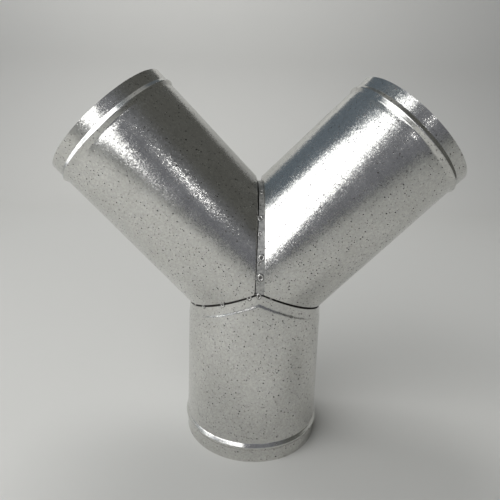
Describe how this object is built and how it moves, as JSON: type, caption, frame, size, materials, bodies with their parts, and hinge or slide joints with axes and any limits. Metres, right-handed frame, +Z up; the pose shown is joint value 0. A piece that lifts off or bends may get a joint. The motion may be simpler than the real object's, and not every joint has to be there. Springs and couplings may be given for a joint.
{
  "type": "duct y branch",
  "caption": "Round galvanised sheet-steel duct Y branch: a straight trunk parts into slanted legs, each end with a slip collar and rolled stop bead, joined by spot-welded lap seams.",
  "frame": {"origin": "centre of the trunk's open rim, on the surface that the branch stands on", "axes": "+Z up the trunk's axis, +X towards the right leg with both leg axes in the XZ plane, +Y to the back"},
  "size_m": [0.29, 0.1026, 0.268],
  "materials": {
    "galvanised_sheet": "smooth zinc coat with fine grain and a few dark specks, fairly bright"
  },
  "bodies": {
    "root": {"trunk": "galvanised_sheet", "left_leg": "galvanised_sheet", "right_leg": "galvanised_sheet"}
  },
  "joints": []
}
